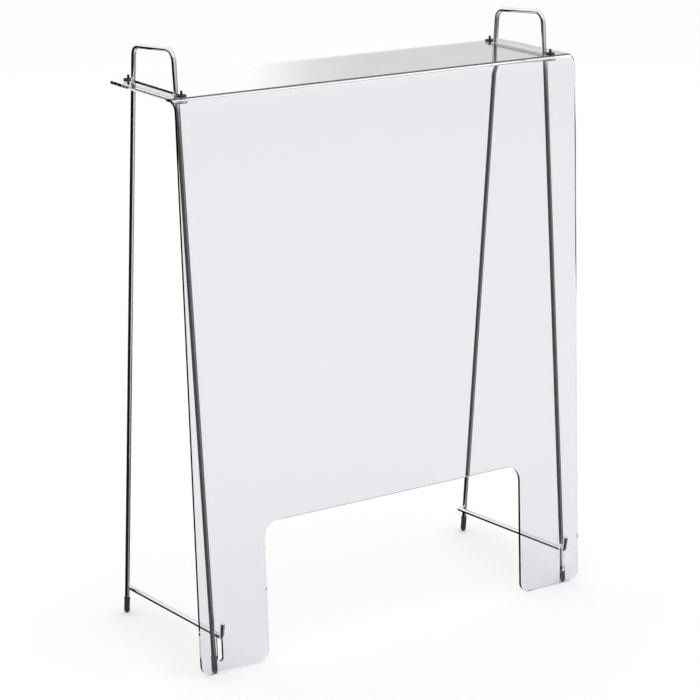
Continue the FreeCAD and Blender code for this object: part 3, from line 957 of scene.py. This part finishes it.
class DESKSCREEN_OT_foot_caps(bpy.types.Operator):
    """Mould the four foot caps"""
    bl_idname = "desk_screen.foot_caps"
    bl_label = "Foot Caps"

    def execute(self, context):
        wire = context.scene.wire_settings
        soft = context.scene.rubber_settings
        radius, tall, bead = soft.cap_radius, soft.cap_length, soft.bead
        rings = []
        for step in range(1, DOME_STEPS + 1):
            angle = math.pi / 2 * step / DOME_STEPS
            rings.append((radius - radius * math.cos(angle), radius * math.sin(angle) - bead))
        rim = tall - RIM_LENGTH
        rings += [(rim - below, radius - bead * share) for below, share in CAP_SWELL]
        rings += [(tall - below, radius - within) for below, within in CAP_MOUTH]
        rings.append((tall - CAP_MOUTH_DEPTH, wire.radius))
        cap = turned("cap", rings, SOFT_SIDES)
        self.add_parting_line(cap, radius, bead)
        smooth(cap, 50)
        dress_ends(cap, "foot_cap", "foot_cap_rubber", rubber("cap_rubber", soft.colour),
                   put=self.put)
        return {"FINISHED"}

    def add_parting_line(self, cap, radius, bead):
        """Raise the faint line that the two halves of the mould leave along the sleeve."""
        edit(cap)
        pick(cap, "vertices", lambda vertex: abs(vertex.co.y) < SAME_SIDE and vertex.co.z > radius
             and abs(vertex.co.x) > radius - 3 * bead)
        grow = 1 + bead * 0.4 / radius
        bpy.ops.transform.resize(value=(grow, 1, 1), center_override=(0, 0, 0))
        bpy.ops.object.mode_set(mode="OBJECT")

    def put(self, cap, side, end, _, name):
        """A copy of the cap on its leg, cut level where it meets the desk."""
        wire = bpy.context.scene.wire_settings
        soft = bpy.context.scene.rubber_settings
        lean = leg_lean(wire, end)
        foot_y = leg_y(wire, end, 0)
        x = middle(f"{side}_wire_frame").x
        centre = (soft.cap_radius - soft.cap_flat) / math.cos(lean) - soft.cap_radius
        away = Vector((0, -math.sin(lean), math.cos(lean))) * centre
        copy = another(cap, name, place=(x, foot_y + away.y, away.z), tilt=lean)
        edit(copy, "SELECT")
        bpy.ops.mesh.bisect(plane_co=(0, 0, 0), plane_no=(0, 0, 1), use_fill=True,
                            clear_inner=True)
        bpy.ops.object.mode_set(mode="OBJECT")
        smooth(copy, 50)
        return copy


# The stage.

FLOOR_DROP = 0.0002
# How steeply up a direction points, where the bands of the studio change.
HORIZON = (-0.06, 0.04)
CEILING = (0.42, 0.62)
KEY_LAMP, KEY_SIZE = Vector((-2.5, -1.5, 3.0)), 2.0
FILL_LAMP, FILL_SIZE = Vector((2.5, 1.5, 3.4)), 2.4
LAMP_AIM = Vector((0, 0, 0.3))
SENSOR_WIDTH = 36
VIEW_END = 200


class DESKSCREEN_OT_stage(bpy.types.Operator):
    """Lay the floor, light it and place the camera"""
    bl_idname = "desk_screen.stage"
    bl_label = "Stage"

    def execute(self, context):
        stage = context.scene.stage_settings
        self.lay_floor(stage)
        self.light_studio(context.scene, stage)
        self.place_camera(context.scene, stage)
        return {"FINISHED"}

    def lay_floor(self, stage):
        """A wide pale floor."""
        start_piece()
        bpy.ops.mesh.primitive_circle_add(vertices=FLOOR_SIDES, radius=stage.floor_radius,
                                          fill_type="NGON", location=(0, 0, -FLOOR_DROP))
        floor = settle(bpy.context.object, "stage_floor")
        made = Finish("pale_floor")
        paper = made.node("ShaderNodeBsdfPrincipled", Base_Color=rgba(stage.floor_colour),
                          Roughness=made.between(made.noise(40, 3), 0.85, 0.95))
        # Wires mirror the studio below the horizon, as if the floor weren't there. So do the
        # wires that are seen through the sheet.
        away = made.node("ShaderNodeBsdfTransparent")
        path = made.node("ShaderNodeLightPath").outputs
        straight = made.maths("SUBTRACT", path["Is Glossy Ray"], path["Is Transmission Ray"],
                              clamp=True)
        mirrored = made.between(path["Glossy Depth"], 0.0, 1.0, 0.0, 1.0)
        through = made.between(path["Transmission Depth"], 0.0, 1.0, 2.0, 3.0)
        later = made.maths("MULTIPLY", mirrored, through)
        either = made.maths("MAXIMUM", later, straight)
        floor.data.materials.append(made.finish(made.mix(either, paper, away)))

    def light_studio(self, scene, stage):
        """A studio round the object: white above, dark to the left, grey to the right."""
        world = bpy.data.worlds.new("studio")
        world.use_nodes = True
        scene.world = world
        made = Nodes(world.node_tree)
        way = made.node("ShaderNodeTexCoord").outputs["Generated"]
        across, ahead, up = made.node("ShaderNodeSeparateXYZ", Vector=way).outputs
        turn = made.maths("ARCTAN2", across, ahead)
        share = made.between(turn, 0.0, 1.0, -math.pi, math.pi)
        low_ring = self.ring(made, share, stage.low_ring)
        high_ring = self.ring(made, share, stage.high_ring)
        rise = made.between(up, 0.0, 1.0, *HORIZON, kind="SMOOTHSTEP")
        top = made.between(up, 0.0, 1.0, *CEILING, kind="SMOOTHSTEP")
        studio = made.blend(top, made.blend(rise, low_ring, high_ring), 1.0)
        # Looked at straight, or through the clear sheet, the studio is plain white.
        path = made.node("ShaderNodeLightPath").outputs
        mirrored = made.maths("MINIMUM", path["Glossy Depth"], 1.0)
        through = made.maths("SUBTRACT", path["Is Transmission Ray"], mirrored, clamp=True)
        plain = made.maths("MAXIMUM", path["Is Camera Ray"], through)
        glow = made.node("ShaderNodeBackground", Color=made.blend(plain, studio, 1.0),
                         Strength=stage.light)
        made.node("ShaderNodeOutputWorld", Surface=glow.outputs[0])
        for place, size, power in ((KEY_LAMP, KEY_SIZE, stage.key_light),
                                   (FILL_LAMP, FILL_SIZE, stage.fill_light)):
            start_piece()
            bpy.ops.object.light_add(type="AREA", location=place)
            lamp = bpy.context.object
            lamp.data.size = size
            lamp.data.energy = power
            lamp.rotation_euler = (LAMP_AIM - place).to_track_quat("-Z", "Y").to_euler()
            lamp.visible_glossy = False

    def ring(self, made, share, stops):
        """A smooth band round the horizon through stops of (share of a turn, brightness)."""
        band = made.node("ShaderNodeValToRGB", Fac=share)
        band.color_ramp.interpolation = "EASE"
        elements = band.color_ramp.elements
        elements.remove(elements[1])
        numbers = list(stops)
        for position, shade in zip(numbers[0::2], numbers[1::2]):
            element = elements.new(position) if position > 0 else elements[0]
            element.color = rgba((shade, shade, shade))
        return band.outputs["Color"]

    def place_camera(self, scene, stage):
        """A long lens from the front left, a little above."""
        start_piece()
        bpy.ops.object.camera_add(location=stage.camera_place)
        camera = bpy.context.object
        camera.rotation_euler = (math.pi / 2 - stage.camera_dip, 0, -stage.camera_turn)
        camera.data.sensor_width = SENSOR_WIDTH
        camera.data.lens = stage.lens
        camera.data.clip_end = VIEW_END
        camera.data.dof.use_dof = False
        scene.camera = camera
        scene.view_settings.view_transform = "Standard"


class DESKSCREEN_PT_pieces(bpy.types.Panel):
    """Buttons for each group of pieces, with the settings"""
    bl_idname = "DESKSCREEN_PT_pieces"
    bl_label = "Desk Screen"
    bl_space_type = "VIEW_3D"
    bl_region_type = "UI"
    bl_category = "Desk Screen"

    def draw(self, context):
        for operator in OPERATORS:
            self.layout.operator(operator.bl_idname)
        for group in (name for name, _ in SETTINGS):
            box = self.layout.box()
            settings = getattr(context.scene, group)
            for name in settings.__annotations__:
                box.prop(settings, name)


SETTINGS = (
    ("sheet_settings", SheetSettings),
    ("wire_settings", WireSettings),
    ("rubber_settings", RubberSettings),
    ("stage_settings", StageSettings),
)
OPERATORS = (
    DESKSCREEN_OT_sheet,
    DESKSCREEN_OT_wire_frames,
    DESKSCREEN_OT_hook_bars,
    DESKSCREEN_OT_saddle_plates,
    DESKSCREEN_OT_welds,
    DESKSCREEN_OT_pins,
    DESKSCREEN_OT_grommets,
    DESKSCREEN_OT_foot_caps,
    DESKSCREEN_OT_stage,
)


def register():
    """Register the settings, the operators and the panel."""
    for name, settings in SETTINGS:
        bpy.utils.register_class(settings)
        setattr(bpy.types.Scene, name, bpy.props.PointerProperty(type=settings))
    for operator in OPERATORS:
        bpy.utils.register_class(operator)
    bpy.utils.register_class(DESKSCREEN_PT_pieces)


def unregister():
    """Take out what register put in."""
    bpy.utils.unregister_class(DESKSCREEN_PT_pieces)
    for operator in reversed(OPERATORS):
        bpy.utils.unregister_class(operator)
    for name, settings in reversed(SETTINGS):
        delattr(bpy.types.Scene, name)
        bpy.utils.unregister_class(settings)


def main():
    """Build every piece and the stage."""
    register()
    bpy.ops.desk_screen.sheet()
    bpy.ops.desk_screen.wire_frames()
    bpy.ops.desk_screen.hook_bars()
    bpy.ops.desk_screen.saddle_plates()
    bpy.ops.desk_screen.welds()
    bpy.ops.desk_screen.pins()
    bpy.ops.desk_screen.grommets()
    bpy.ops.desk_screen.foot_caps()
    bpy.ops.desk_screen.stage()
    start_piece()


if __name__ == "__main__":
    main()
